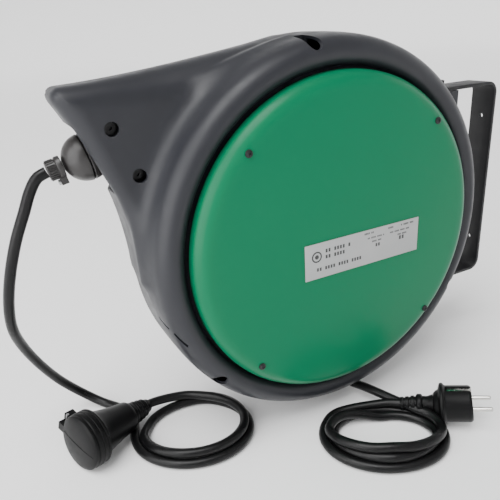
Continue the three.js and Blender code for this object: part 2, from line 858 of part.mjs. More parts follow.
add("wall_bracket", wallBracket(), BLACK_STEEL);
add("pivot_bolt_top", pivotBolt(1), ZINC);
add("pivot_bolt_bottom", pivotBolt(-1), ZINC);
add("front_shell", frontShell(), CASING);
add("rear_shell", rearShell(), CASING);
add("front_cover", frontCover(), GREEN);
add("rating_label", box(-53, 85, -11.6, -COVER_DOME - 0.8, -27.2, 9.1), LABEL);
[[-1, 1], [1, 1], [-1, -1], [1, -1]].forEach(([sx, sz], i) => {
  add("cover_screw_" + (i + 1), coverScrew(sx * SCREW_PITCH, sz * SCREW_PITCH), BLACK_STEEL);
});
for (const screw of CASE_SCREWS) add("case_screw_" + screw.name, caseScrew(screw), ZINC);

add("drum_hub", drumHub(), DRUM);
add("drum_flange_front", drumFlange(64, 30, 33), DRUM);
add("drum_flange_rear", drumFlange(58, 97, 100), DRUM);
add("cable_winding", cableWinding(), RUBBER);
add("spring_case", springCase(), STEEL);
add("spring_case_cover", ring(19, 62, 37, 39.7), STEEL);
add("mainspring", mainspring(), STEEL);
add("main_shaft", mainShaft(), STEEL);
add("shaft_bush_front", shaftBush(36), NYLON);
add("shaft_bush_rear", shaftBush(80), NYLON);
add("ratchet_wheel", ratchetWheel(), STEEL);
add("pawl", pawl(), STEEL);
add("pawl_pin", pawlPin(), STEEL);
RING_Y.forEach((y, i) => {
  add("slip_ring_" + (i + 1), slipRing(y), BRASS);
  add("brush_" + (i + 1), brush(y), BRASS);
});
add("brush_holder", brushHolder(), DRUM);
add("rear_cover", rearCover(), CASING);
add("supply_gland", supplyGland(), RUBBER);

for (const roller of ROLLERS) {
  add("guide_roller_" + roller.name, guideRoller(roller), NYLON);
  add("roller_screw_" + roller.name, rollerScrew(roller), ZINC);
}
add("stopper_half_outer", stopperHalf(1), STOPPER);
add("stopper_half_inner", stopperHalf(-1), STOPPER);
add("stopper_collar", stopperCollar(), STOPPER);
add("stopper_clamp_screw", clampScrew(), ZINC);
add("inner_lead", innerLead(), RUBBER);

add("outlet_cord_lead", cordTube(OUTLET_LEAD), RUBBER);
add("supply_cord_lead", cordTube(SUPPLY_LEAD), RUBBER);
const socketClear = moved(
  turned([[0, 5], [31.5, 5], [31.5, 20], [24, 32], [19.5, 52], [14.5, 68], [14, 100], [0, 100]], 20),
  SOCKET_FRAME,
);
const plugClear = moved(disc(22, -12, 60, 24), PLUG_FRAME);
add("outlet_cord_coil", cut(coilRing(vec(-162, 52, FLOOR_Z), 67, 55, 17, 18), socketClear), RUBBER);
add("supply_cord_coil", cut(coilRing(vec(8, -60, FLOOR_Z), 68, 52, 20, 27), plugClear), RUBBER);

add("socket_body", socketBody(), RUBBER);
add("socket_insert", socketInsert(), RUBBER);
add("socket_lid", socketLid(), RUBBER);
add("socket_lid_pin", lidPin(), STEEL);
add("socket_strain_relief", socketRelief(), RUBBER);
add("plug_body", plugBody(), RUBBER);
add("plug_pin_1", plugPin(1), NICKEL);
add("plug_pin_2", plugPin(-1), NICKEL);
add("plug_earth_strip_1", plugEarth(1), NICKEL);
add("plug_earth_strip_2", plugEarth(-1), NICKEL);
add("plug_strain_relief", plugRelief(), RUBBER);

export default reel;
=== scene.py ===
import math

import bmesh
import bpy
import numpy as np
from mathutils import Matrix, Vector


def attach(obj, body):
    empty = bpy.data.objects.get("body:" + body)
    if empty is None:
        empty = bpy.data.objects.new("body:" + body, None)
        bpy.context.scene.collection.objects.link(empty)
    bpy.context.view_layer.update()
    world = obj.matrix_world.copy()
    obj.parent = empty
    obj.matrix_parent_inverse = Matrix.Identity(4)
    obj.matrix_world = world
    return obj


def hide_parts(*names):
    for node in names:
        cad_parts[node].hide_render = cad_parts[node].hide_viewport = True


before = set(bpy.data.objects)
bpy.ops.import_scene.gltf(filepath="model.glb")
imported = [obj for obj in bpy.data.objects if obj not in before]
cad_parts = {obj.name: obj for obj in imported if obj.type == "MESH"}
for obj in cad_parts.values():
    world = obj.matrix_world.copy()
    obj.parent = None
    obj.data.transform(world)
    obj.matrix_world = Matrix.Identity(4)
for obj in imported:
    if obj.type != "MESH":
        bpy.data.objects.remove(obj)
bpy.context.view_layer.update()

# ---- dimensions, in millimetres from the centre of the cover's rim ----
STRAP_X = 266
SPLIT_Y = 74
CASE_R = 192
PANEL_Y = 36
REAR_PANEL_Y = 112
BACK_Y = 126
SHELF_Y = 14
WALL = 3
TOP_Z = 166
STRAP_W = 33
STRAP_T = 4
STRAP_HALF_H = 122
PIVOT_X = 186
BALL_R = 20.5
CORD_R = 5
FLOOR_Z = -205
SCREW_PITCH = 103.8
GLAND_Y = 139
CLAMP_BORE = CORD_R + 0.3
MARK_FRONT, MARK_BACK = -11.62, -11.4
SPLIT_GAP = 0.1

# ---- numbers of the casing's distance field ----
SETTLE_ROUNDS = 7
LONGEST_STEP = 4


def unit(*v):
    v = np.array(v, float)
    return v / np.linalg.norm(v)


def row(points):
    """Reel points in millimetres to the row frame in metres."""
    return (np.asarray(points, float) - (STRAP_X, SPLIT_Y, 0)) / 1000


MOUTH_OUT = unit(math.cos(math.radians(203.5)), 0, math.sin(math.radians(203.5)))
MOUTH_DOWN = np.array([-MOUTH_OUT[2], 0, MOUTH_OUT[0]])
MOUTH_AXES = np.stack([MOUTH_DOWN, MOUTH_OUT, (0, 1, 0)], 1)
BALL = np.array([-218.5, SPLIT_Y, 105.0])
STOPPER_DIR = unit(-0.976, 0, -0.218)
ROLLERS = {"upper": (-201, 131), "lower": (-184, 90)}
CASE_SCREWS = {"top": (98, 186), "left": (219, 183), "right": (329, 183)}

# ---- camera ----
CAMERA_AT = np.array([-297.9, -399.0, 200.5])
CAMERA_LENS = 38.635


def make_camera():
    forward = Vector(unit(0.404, 0.83, -0.386))
    right = Vector((0.886, -0.46, -0.062))
    right = (right - forward * right.dot(forward)).normalized()
    up = right.cross(forward)
    data = bpy.data.cameras.new("camera")
    data.sensor_width = 36
    data.lens = CAMERA_LENS
    camera = bpy.data.objects.new("camera", data)
    camera.matrix_world = Matrix.LocRotScale(
        Vector(row(CAMERA_AT)), Matrix((right, up, -forward)).transposed(), None
    )
    bpy.context.scene.collection.objects.link(camera)
    bpy.context.scene.camera = camera


make_camera()


# ---- materials ----
class Nodes:
    """A new material and short ways to add and join its nodes."""

    def __init__(self, name):
        self.material = bpy.data.materials.new(name)
        self.material.use_nodes = True
        self.tree = self.material.node_tree
        self.bsdf = self.tree.nodes["Principled BSDF"]
        self.where = self.add("ShaderNodeTexCoord").outputs["Object"]

    def add(self, kind, **values):
        node = self.tree.nodes.new(kind)
        for key, value in values.items():
            if key in node.inputs:
                node.inputs[key].default_value = value
            else:
                setattr(node, key, value)
        return node

    def link(self, a, b):
        self.tree.links.new(a, b)

    def noise(self, scale, detail=3.0, rough=0.55, stretch=None):
        node = self.add("ShaderNodeTexNoise", Scale=scale, Detail=detail, Roughness=rough)
        source = self.where
        if stretch:
            mapping = self.add("ShaderNodeMapping")
            mapping.inputs["Scale"].default_value = stretch
            self.link(source, mapping.inputs["Vector"])
            source = mapping.outputs["Vector"]
        self.link(source, node.inputs["Vector"])
        return node.outputs["Fac"]

    def ramp(self, source, low, high, start=0.3, end=0.7):
        node = self.add("ShaderNodeMapRange")
        node.inputs["From Min"].default_value = start
        node.inputs["From Max"].default_value = end
        node.inputs["To Min"].default_value = low
        node.inputs["To Max"].default_value = high
        self.link(source, node.inputs["Value"])
        return node.outputs["Result"]

    def blend(self, source, first, second):
        node = self.add("ShaderNodeMix", data_type="RGBA")
        self.link(source, node.inputs[0])
        node.inputs[6].default_value = (*first, 1)
        node.inputs[7].default_value = (*second, 1)
        return node.outputs[2]

    def bump(self, source, strength, distance, before=None):
        node = self.add("ShaderNodeBump", Strength=strength, Distance=distance)
        self.link(source, node.inputs["Height"])
        if before:
            self.link(before, node.inputs["Normal"])
        return node.outputs["Normal"]


def surface(name, color, worn, rough, metal=0.0, grain=900, depth=0.00004, strength=0.3,
            patch=14, stretch=None, coat=0.0, specular=0.5, spread=0.06):
    """A finish with a fine grain, a patchy colour between two tones and a patchy gloss."""
    n = Nodes(name)
    patches = n.ramp(n.noise(patch, 4), 0, 1)
    n.link(n.blend(patches, color, worn), n.bsdf.inputs["Base Color"])
    n.link(n.ramp(n.noise(patch * 5, 3), rough - spread, rough + spread), n.bsdf.inputs["Roughness"])
    n.bsdf.inputs["Metallic"].default_value = metal
    n.bsdf.inputs["Coat Weight"].default_value = coat
    n.bsdf.inputs["Coat Roughness"].default_value = 0.12
    n.bsdf.inputs["Specular IOR Level"].default_value = specular
    fine = n.bump(n.noise(grain, 2, 0.6, stretch), strength, depth)
    n.link(fine, n.bsdf.inputs["Normal"])
    return n.material


CASING = surface("casing_plastic", (0.0145, 0.0152, 0.0195), (0.0165, 0.0172, 0.0215), 0.42, grain=1100,
                 depth=0.00005, strength=0.35, specular=0.35)
GREEN = surface("cover_green", (0.0, 0.135, 0.058), (0.0, 0.139, 0.060), 0.3, grain=700,
                depth=0.00001, strength=0.1, patch=6, spread=0.02, specular=0.16)
BLACK_STEEL = surface("black_steel", (0.006, 0.006, 0.007), (0.01, 0.01, 0.011), 0.5, grain=1500,
                      depth=0.00003, strength=0.35, specular=0.35)
ZINC = surface("zinc", (0.42, 0.43, 0.44), (0.5, 0.5, 0.5), 0.36, 1.0, grain=700, patch=60)
STEEL = surface("steel", (0.4, 0.4, 0.41), (0.48, 0.48, 0.49), 0.32, 1.0, grain=500,
                stretch=(1, 18, 1), patch=40)
BRASS = surface("brass", (0.55, 0.36, 0.1), (0.62, 0.42, 0.14), 0.3, 1.0, grain=600, patch=60)
NICKEL = surface("nickel", (0.62, 0.61, 0.58), (0.7, 0.69, 0.66), 0.24, 1.0, grain=800, patch=80)
DRUM = surface("drum_plastic", (0.02, 0.022, 0.025), (0.027, 0.028, 0.031), 0.5)
NYLON = surface("nylon", (0.62, 0.6, 0.54), (0.7, 0.68, 0.62), 0.45)
RUBBER = surface("cable_rubber", (0.004, 0.004, 0.0043), (0.006, 0.006, 0.0063), 0.33, grain=1400,
                 depth=0.00004, strength=0.3, patch=30, specular=0.22)
MOULDED = surface("moulded_rubber", (0.0035, 0.0035, 0.0038), (0.0055, 0.0055, 0.0058), 0.4,
                  grain=1300, depth=0.00005, strength=0.35, patch=26, specular=0.13)
STOPPER = surface("stopper_plastic", (0.014, 0.0125, 0.0125), (0.019, 0.017, 0.0165), 0.36,
                  grain=1200, depth=0.00005, strength=0.35, patch=40)
LABEL = surface("label_foil", (0.33, 0.34, 0.34), (0.37, 0.37, 0.37), 0.42, 0.1, grain=900, patch=20)
INK = surface("label_ink", (0.02, 0.02, 0.02), (0.05, 0.05, 0.05), 0.5, grain=900, patch=60)


# ---- meshes ----
def lathe(profile, segments=64):
    """A closed profile of (radius, y) turned about the Y axis."""
    profile = np.array(profile, float)
    angles = np.arange(segments) / segments * 2 * math.pi
    r = profile[:, 0][:, None]
    y = np.broadcast_to(profile[:, 1][:, None], (len(profile), segments))
    points = np.stack([r * np.cos(angles), y, r * np.sin(angles)], -1).reshape(-1, 3)
    faces = []
    for i in range(len(profile) - 1):
        for j in range(segments):
            k = (j + 1) % segments
            faces.append((i * segments + j, i * segments + k, (i + 1) * segments + k,
                          (i + 1) * segments + j))
    return points, faces


def ring(inner, outer, y0, y1, segments=48):
    return lathe([(inner, y0), (outer, y0), (outer, y1), (inner, y1), (inner, y0)], segments)


def disc(r, y0, y1, segments=48):
    return lathe([(0, y0), (r, y0), (r, y1), (0, y1)], segments)


def block(x0, x1, y0, y1, z0, z1):
    points = np.array([(x, y, z) for x in (x0, x1) for y in (y0, y1) for z in (z0, z1)], float)
    return points, [(0, 1, 3, 2), (4, 6, 7, 5), (0, 4, 5, 1), (2, 3, 7, 6), (0, 2, 6, 4), (1, 5, 7, 3)]


def prism(outline, y0, y1):
    """An outline of (x, z) points drawn out along Y."""
    n = len(outline)
    points = np.array([(x, y, z) for y in (y0, y1) for x, z in outline], float)
    faces = [tuple(range(n)), tuple(range(2 * n - 1, n - 1, -1))]
    faces += [(i, (i + 1) % n, n + (i + 1) % n, n + i) for i in range(n)]
    return points, faces


def moved(part, offset=(0, 0, 0), matrix=None):
    points = part[0] @ matrix.T if matrix is not None else part[0]
    return points + np.asarray(offset, float), part[1]


def aim(direction, side=(0, 0, 1)):
    """The matrix whose local Y axis lies along direction."""
    y = unit(*direction)
    z = unit(*np.cross(side, y))
    return np.stack([np.cross(y, z), y, z], 1)


def about_y(a):
    return np.array([[math.cos(a), 0, -math.sin(a)], [0, 1, 0], [math.sin(a), 0, math.cos(a)]])


def rod(start, direction, r, length, segments=32):
    side = (1, 0, 0) if abs(direction[2]) > 0.9 else (0, 0, 1)
    return moved(disc(r, 0, length, segments), start, aim(direction, side))


def mesh_of(name, parts):
    mesh = bpy.data.meshes.new(name)
    points = []
    faces = []
    for part in parts:
        base = len(points)
        points.extend(row(part[0]).tolist())
        faces.extend(tuple(base + i for i in face) for face in part[1])
    mesh.from_pydata(points, [], faces)
    work = bmesh.new()
    work.from_mesh(mesh)
    bmesh.ops.remove_doubles(work, verts=work.verts, dist=1e-6)
    bmesh.ops.dissolve_degenerate(work, edges=work.edges, dist=1e-7)
    bmesh.ops.recalc_face_normals(work, faces=work.faces)
    work.to_mesh(mesh)
    work.free()
    return mesh


def scratch(name, *parts):
    thing = bpy.data.objects.new(name, mesh_of(name, parts))
    bpy.context.scene.collection.objects.link(thing)
    return thing


def bake(thing):
    """Turns the modifiers into plain mesh."""
    graph = bpy.context.evaluated_depsgraph_get()
    mesh = bpy.data.meshes.new_from_object(thing.evaluated_get(graph))
    thing.modifiers.clear()
    old = thing.data
    thing.data = mesh
    bpy.data.meshes.remove(old)


def boolean(thing, operation, tool):
    """Joins or cuts with another object, which is used up."""
    modifier = thing.modifiers.new("boolean", "BOOLEAN")
    modifier.operation = operation
    modifier.solver = "MANIFOLD"
    modifier.object = tool
    bake(thing)
    bpy.data.objects.remove(tool)


def combine(thing, operation, *parts):
    for part in parts:
        boolean(thing, operation, scratch("tool", part))


def bevel(thing, width, segments=2, angle=35):
    modifier = thing.modifiers.new("bevel", "BEVEL")
    modifier.width = width / 1000
    modifier.segments = segments
    modifier.limit_method = "ANGLE"
    modifier.angle_limit = math.radians(angle)
    bake(thing)


def finish(thing, material, body, nodes=(), sharp=38):
    thing.data.materials.clear()
    thing.data.materials.append(material)
    thing.data.polygons.foreach_set("use_smooth", [True] * len(thing.data.polygons))
    thing.data.set_sharp_from_angle(angle=math.radians(sharp))
    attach(thing, body)
    if nodes:
        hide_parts(*nodes)
    return thing


# ---- cords ----
COIL_LONG = np.array([0.8875, -0.4608, 0])
COIL_DEEP = np.array([0.4608, 0.8875, 0])


def spline(points, step):
    """Points along a centripetal Catmull-Rom curve through points, a step apart."""
    p = np.asarray(points, float)
    p = np.vstack([2 * p[0] - p[1], p, 2 * p[-1] - p[-2]])
    out = []
    for a, b, c, d in zip(p, p[1:], p[2:], p[3:]):
        knots = np.cumsum([0] + [max(np.linalg.norm(v), 1e-6) ** 0.5 for v in (b - a, c - b, d - c)])
        for t in np.linspace(knots[1], knots[2], 12, endpoint=False):
            def mix(u, v, i, j):
                return ((knots[j] - t) * u + (t - knots[i]) * v) / (knots[j] - knots[i])
            ab, bc, cd = mix(a, b, 0, 1), mix(b, c, 1, 2), mix(c, d, 2, 3)
            out.append(mix(mix(ab, bc, 0, 2), mix(bc, cd, 1, 3), 1, 2))
    out = np.array(out + [p[-2]])
    along = np.concatenate([[0], np.cumsum(np.linalg.norm(np.diff(out, axis=0), axis=1))])
    marks = np.linspace(0, along[-1], max(2, round(along[-1] / step)))
    return np.stack([np.interp(marks, along, out[:, i]) for i in range(3)], 1)


def coil(centre, a, b, start, turn, keys):
    """Coil points. Each key is (quarter turns from the start, offset outwards, height)."""
    quarters = np.arange(keys[0][0], keys[-1][0] + 0.01, 1 / 4)
    marks = [k[0] for k in keys]
    offset = np.interp(quarters, marks, [k[1] for k in keys])
    height = np.interp(quarters, marks, [k[2] for k in keys])
    angle = np.radians(start + turn * 90 * quarters)
    flat = ((a + offset) * np.cos(angle))[:, None] * COIL_LONG
    flat = flat + ((b + offset) * np.sin(angle))[:, None] * COIL_DEEP
    points = np.array([*centre, 0.0]) + flat
    points[:, 2] = height
    return points.tolist()


OUTLET_ROUTE = [
    (-252.4, 74, 97.4), (-260.5, 74, 94), (-268, 75, 84), (-276.5, 76, 66.5), (-288, 79, 42),
    (-299, 84, 11), (-306.5, 93, -21), (-309, 106, -51), (-304.5, 126, -84), (-292, 146, -124),
    (-275, 160, -160), (-255, 162, -186), (-237, 150, -198.5), (-222, 131, -200), (-212, 112, -200),
]
OUTLET_COIL = [
    (0, 0, -200), (1, 0, -200), (2, 0, -200), (3, 0, -200), (3.6, -8, -200), (4, -11, -200),
    (4.5, -8, -195), (5, -5, -191.2), (6, -5, -191.2), (7, -4, -191), (7.3, -1, -190.5),
]
SUPPLY_ROUTE = [
    (0, 139, -96.3), (0, 139, -118), (1, 139.5, -142), (3, 138, -163), (7, 129, -183),
    (12, 113, -196), (17, 94, -200), (22, 74, -200), (26, 54, -200), (28, 34, -198),
    (30, 14, -193), (34, -4, -190),
]
SUPPLY_COIL = [
    (0.25, -6, -189.6), (0.5, -10, -190.8), (1, -5.2, -191.2), (1.5, -6.5, -186), (2, -8, -182),
    (2.5, -7, -185), (3, -6, -191.2), (3.3, -11, -190), (3.6, -17, -192.5), (3.8, -19.5, -197),
    (4, -20.3, -200), (4.5, -15, -200), (5, -10.4, -200), (5.5, -8.5, -195), (6, -3.8, -190.8),
    (6.5, -8.5, -195), (7, -11, -200), (8, -10.2, -200), (8.4, -9, -200), (9, -2, -200),
    (9.5, 0, -200), (10, 0, -200), (11, 0, -200), (11.5, 0, -198),
]

SOCKET_FACE = np.array([-278, 63, -174.5])
SOCKET_TURN, SOCKET_DROP = math.radians(25), math.radians(8)
SOCKET_DIR = np.array([
    math.cos(SOCKET_TURN) * math.cos(SOCKET_DROP),
    math.sin(SOCKET_TURN) * math.cos(SOCKET_DROP),
    -math.sin(SOCKET_DROP),
])
LEVEL = np.array([-math.sin(SOCKET_TURN), math.cos(SOCKET_TURN), 0])
HINGE_ANGLE = math.radians(13)
HINGE_SIDE = LEVEL * math.cos(HINGE_ANGLE) + unit(*np.cross(SOCKET_DIR, LEVEL)) * math.sin(HINGE_ANGLE)
SOCKET_AXES = np.stack([HINGE_SIDE, SOCKET_DIR, np.cross(HINGE_SIDE, SOCKET_DIR)], 1)
HINGE_R, HINGE_DEPTH = 31.5, 8.5
PLUG_START = np.array([46, -41, -190.0])
PLUG_DIR = unit(0.72, -0.675, 0.15)
PLUG_AXES = aim(PLUG_DIR)


def make_cord(name, points, nodes):
    curve = bpy.data.curves.new(name, "CURVE")
    curve.dimensions = "3D"
    curve.bevel_depth = CORD_R / 1000
    curve.bevel_resolution = 6
    curve.use_fill_caps = True
    line = curve.splines.new("POLY")
    path = row(spline(points, 4))
    line.points.add(len(path) - 1)
    line.points.foreach_set("co", np.hstack([path, np.ones((len(path), 1))]).ravel())
    line.use_smooth = True
    curve.materials.append(RUBBER)
    thing = bpy.data.objects.new(name, curve)
    bpy.context.scene.collection.objects.link(thing)
    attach(thing, "reel")
    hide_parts(*nodes)
    length = float(np.linalg.norm(np.diff(path, axis=0), axis=1).sum())
    return thing, path, length


tail = [SOCKET_FACE + SOCKET_DIR * d for d in (98, 80)]
outlet_points = OUTLET_ROUTE + coil((-162, 52), 62, 50, 172, 1, OUTLET_COIL)[1:] + tail
outlet, outlet_path, outlet_length = make_cord(
    "outlet_cable", outlet_points, ["outlet_cord_lead", "outlet_cord_coil"])
lead_in = [PLUG_START + PLUG_DIR * d for d in (-14, 0, 12)]
supply_points = SUPPLY_ROUTE + coil((8, -60), 63, 47, 90, -1, SUPPLY_COIL)[1:] + lead_in
supply, supply_path, supply_length = make_cord(
    "supply_cable", supply_points, ["supply_cord_lead", "supply_cord_coil"])


# ---- casing ----
def cubic(a, b, c, d, n):
    t = np.linspace(0, 1, n)[:, None]
    a, b, c, d = (np.array(v, float) for v in (a, b, c, d))
    return a * (1 - t) ** 3 + 3 * b * t * (1 - t) ** 2 + 3 * c * t**2 * (1 - t) + d * t**3


def nose_edges():
    """The nose's top edge and its mouth edge, as (x, z) points from the drum to the tip and back."""
    start = CASE_R * np.array([math.cos(math.radians(99)), math.sin(math.radians(99))])
    low = np.array([-205.6, 78])
    down = np.array([MOUTH_DOWN[0], MOUTH_DOWN[2]])
    tip = np.array([-247.5, TOP_Z - 0.5])
    flare = np.array([0.5, -0.866])
    top = cubic(start, start + (-59, -9), tip + (80, 2.5), tip + (15, 0), 60)
    corner = cubic(tip + (15, 0), tip + (7.6, 0), tip + flare * 7.6, tip + flare * 15, 14)
    edge = cubic(tip + flare * 15, tip + flare * 38, low - down * 34, low, 20)
    end = CASE_R * np.array([math.cos(math.radians(183)), math.sin(math.radians(183))])
    mouth = cubic(low, low + (7.5, -17), end + (-0.2, 27), end, 40)
    return np.vstack([top, corner[1:8]]), np.vstack([corner[7:], edge[1:], mouth[1:]])


TOP_EDGE, MOUTH_EDGE = nose_edges()


def distance(points, line):
    best = np.full(len(points), 1e9)
    for a, b in zip(line, line[1:]):
        ab = b - a
        t = np.clip(((points - a) @ ab) / (ab @ ab + 1e-12), 0, 1)
        best = np.minimum(best, np.linalg.norm(points - a - t[:, None] * ab, axis=1))
    return best


def inside(points, loop):
    hit = np.zeros(len(points), bool)
    for (x0, z0), (x1, z1) in zip(loop, np.roll(loop, -1, 0)):
        if z0 == z1:
            continue
        crosses = (points[:, 1] < z0) != (points[:, 1] < z1)
        hit ^= crosses & (points[:, 0] < (x1 - x0) * (points[:, 1] - z0) / (z1 - z0) + x0)
    return hit


def smoothstep(x):
    x = np.clip(x, 0, 1)
    return x * x * (3 - 2 * x)


class Half:
    """One half of the casing as a smooth distance field: the drum's section and the nose's slab."""

    def __init__(self, section, face, sign, top_round, tip_round, mouth_round, inset):
        self.section = spline([(r, y, 0) for r, y in section], 2)[:, :2]
        end = SPLIT_Y + sign * 40
        far = [(self.section[-1][0], end), (0, end), (0, section[0][1])]
        self.loop = np.vstack([self.section, far])
        self.nose = np.vstack([TOP_EDGE, MOUTH_EDGE, [(-60, -10), (-20, 100)]])
        self.face, self.sign, self.inset = face, sign, inset
        self.top_round, self.tip_round, self.mouth_round = top_round, tip_round, mouth_round
        self.made = None

    def field(self, p):
        ry = np.stack([np.hypot(p[:, 0], p[:, 2]), p[:, 1]], 1)
        drum = distance(ry, self.section) * np.where(inside(ry, self.loop), -1, 1)
        xz = p[:, [0, 2]]
        to_top, to_mouth = distance(xz, TOP_EDGE), distance(xz, MOUTH_EDGE)
        depth = np.minimum(to_top, to_mouth) * np.where(inside(xz, self.nose), 1, -1) - self.inset
        share = smoothstep((to_top / (to_top + to_mouth + 1e-6) - 0.3) / 0.4)
        away = smoothstep((np.linalg.norm(xz - TOP_EDGE[-1], axis=1) - 12) / 90)
        top = self.tip_round + (self.top_round - self.tip_round) * away
        low = self.tip_round + (self.mouth_round - self.tip_round) * away
        radius = top + (low - top) * share
        qx = radius - depth
        qy = radius - self.sign * (p[:, 1] - self.face)
        nose = np.hypot(np.maximum(qx, 0), np.maximum(qy, 0)) + np.minimum(np.maximum(qx, qy), 0) - radius
        k = 3 + 17 * (1 - smoothstep((self.sign * (p[:, 1] - self.face) - 3) / 16))
        h = np.maximum(k - np.abs(drum - nose), 0) / k
        return np.minimum(drum, nose) - h * h * k / 4

    def settle(self, p, keep_last):
        """Moves the points onto the skin, those of keep_last without leaving their height."""
        e = 0.05
        for _ in range(SETTLE_ROUNDS):
            f = self.field(p)
            g = np.stack([(self.field(p + e * d) - f) / e for d in np.eye(3)], 1)
            g[keep_last, 1] = 0
            size = np.maximum((g * g).sum(1), 0.05)
            p = p - np.clip(f / size, -LONGEST_STEP, LONGEST_STEP)[:, None] * g
        return p

    def grid(self):
        """Columns of points round the casing, from the middle of the face to the split."""
        outline = np.vstack([TOP_EDGE, MOUTH_EDGE])
        out = np.array(spline([(x, 0, z) for x, z in outline], 3))[:, [0, 2]]
        angle = np.arctan2(out[:, 1], out[:, 0])
        angle = np.where(angle < 0, angle + 2 * math.pi, angle)
        reach = np.hypot(out[:, 0], out[:, 1])
        rest = np.linspace(angle[-1], angle[0] + 2 * math.pi, 110)[1:-1]
        angle = np.concatenate([angle, rest])
        reach = np.concatenate([reach, np.full(len(rest), float(CASE_R))])
        s = self.sign
        cut = np.argmax(s * (self.section[:, 1] - self.face) > -4)
        inner = self.section[:cut]
        wall = self.section[cut:]
        edge = reach[:, None] * np.stack([np.cos(angle), np.sin(angle)], 1)
        on_top = distance(edge, TOP_EDGE) < distance(edge, MOUTH_EDGE)
        away = smoothstep((np.linalg.norm(edge - TOP_EDGE[-1], axis=1) - 12) / 90)
        wide = self.tip_round + (np.where(on_top, self.top_round, self.mouth_round) - self.tip_round) * away
        wide = np.where(on_top, wide, wide * 1.35)
        columns = []
        for a, r, radius in zip(angle, reach, wide):
            arc = np.linspace(0, math.pi / 2, 12)
            nose = np.stack([r - radius + radius * np.sin(arc),
                             self.face + s * radius * (1 - np.cos(arc))], 1)
            flat = np.stack([np.linspace(150, r - radius, 30), np.full(30, self.face)], 1)
            nose = np.vstack([flat, nose, [(r, SPLIT_Y)]])
            wall_r = np.interp(s * nose[:, 1], *sorted_pair(s * wall[:, 1], wall[:, 0]))
            free = nose[:, 0] > wall_r + 0.3
            if free.any():
                first = int(np.argmax(free))
                before = wall[s * wall[:, 1] < s * nose[first, 1]]
                line = np.vstack([before, nose[first:]])
            else:
                line = wall
            along = np.concatenate([[0], np.cumsum(np.linalg.norm(np.diff(line, axis=0), axis=1))])
            marks = np.linspace(0, along[-1], 46)
            line = np.stack([np.interp(marks, along, line[:, i]) for i in range(2)], 1)
            line = np.vstack([inner, line])
            line[-1, 1] = SPLIT_Y
            columns.append(np.stack([line[:, 0] * math.cos(a), line[:, 1], line[:, 0] * math.sin(a)], 1))
        return np.array(columns)

    def skin(self):
        """The settled points and the direction out of the plastic at each."""
        columns = self.grid()
        last = np.zeros(columns.shape[:2], bool)
        last[:, -1] = True
        last = last.ravel()
        points = self.settle(columns.reshape(-1, 3), last)
        e = 0.2
        f = self.field(points)
        out = np.stack([(self.field(points + e * d) - f) / e for d in np.eye(3)], 1)
        out[last, 1] = 0
        out /= np.maximum(np.linalg.norm(out, axis=1), 1e-6)[:, None]
        return columns.shape, points, out

    def solid(self, offset, end_y):
        """The half as one closed body, its skin moved in by offset and its open side at end_y."""
        if self.made is None:
            self.made = self.skin()
        (count, rows, _), points, out = self.made
        columns = (points - out * offset).reshape(count, rows, 3)
        columns[:, -1, 1] = end_y
        points = columns.reshape(-1, 3)
        faces = []
        for j in range(count):
            k = (j + 1) % count
            for i in range(rows - 1):
                faces.append((j * rows + i, k * rows + i, k * rows + i + 1, j * rows + i + 1))
        faces.append(tuple(j * rows for j in range(count)))
        faces.append(tuple(j * rows + rows - 1 for j in reversed(range(count))))
        return points, faces


def sorted_pair(x, y):
    order = np.argsort(x)
    return x[order], y[order]


FRONT = Half(
    [(112, SHELF_Y), (150, SHELF_Y), (161, SHELF_Y), (163, 12.5), (164.2, 8), (167.5, 3.4), (174, 1),
     (181, 3.6), (186.5, 10), (189.6, 20), (191, 34), (191.6, 50), (CASE_R, SPLIT_Y)],
    PANEL_Y, 1, 30, 18, 12, 0)
REAR = Half(
    [(20, BACK_Y), (100, BACK_Y), (CASE_R - 60, BACK_Y - 0.6), (CASE_R - 40, BACK_Y - 3),
     (CASE_R - 18, SPLIT_Y + 41), (CASE_R - 7, SPLIT_Y + 26), (CASE_R - 2.4, SPLIT_Y + 12),
     (CASE_R - 0.8, SPLIT_Y + 4), (CASE_R - 0.6, SPLIT_Y)],
    REAR_PANEL_Y, -1, 35, 32, 26, 0.6)


def polar(angle, r, y=0.0):
    a = math.radians(angle)
    return np.array([math.cos(a) * r, y, math.sin(a) * r])


def mouth_hole():
    outline = []
    for cx, cz in ((-28, -21), (28, -21), (28, 21), (-28, 21)):
        base = math.degrees(math.atan2(cz, cx))
        start = {(-1, -1): 180, (1, -1): 270, (1, 1): 0, (-1, 1): 90}[(np.sign(cx), np.sign(cz))]
        for k in range(6):
            a = math.radians(start + 18 * k)
            outline.append((cx + 6 * math.cos(a), cz + 6 * math.sin(a)))
    return moved(prism(outline, -45, 20), BALL, MOUTH_AXES)


def lug(sign, y0, y1):
    z0, z1 = 94, STRAP_HALF_H - STRAP_T - 0.6
    low, high = (z0, z1) if sign > 0 else (-z1, -z0)
    outline = [(150, y0), (PIVOT_X + 17, y0), (PIVOT_X + 17, y1), (150, y1)]
    points, faces = prism([(x, z) for x, z in outline], low, high)
    return points[:, [0, 2, 1]], faces


def hollow(name, half, posts):
    """A half with its cavity cut out. The core is longer than the half, so the open side stays open."""
    thing = scratch(name, half.solid(0, SPLIT_Y - half.sign * SPLIT_GAP))
    core = scratch("core", half.solid(WALL, SPLIT_Y - half.sign * 6))
    combine(core, "DIFFERENCE", *posts)
    boolean(thing, "DIFFERENCE", core)
    return thing


# The two slots low on the side: each has its two ends on the skin, as (angle, radius, y), and the
# angle by which its cut leans forward.
SLOTS = [((193.25, 191, 33.5), (195.25, 189, 17.5), 10),
         ((196.25, 187.3, 11.7), (201.25, 182.8, 5.1), 34)]


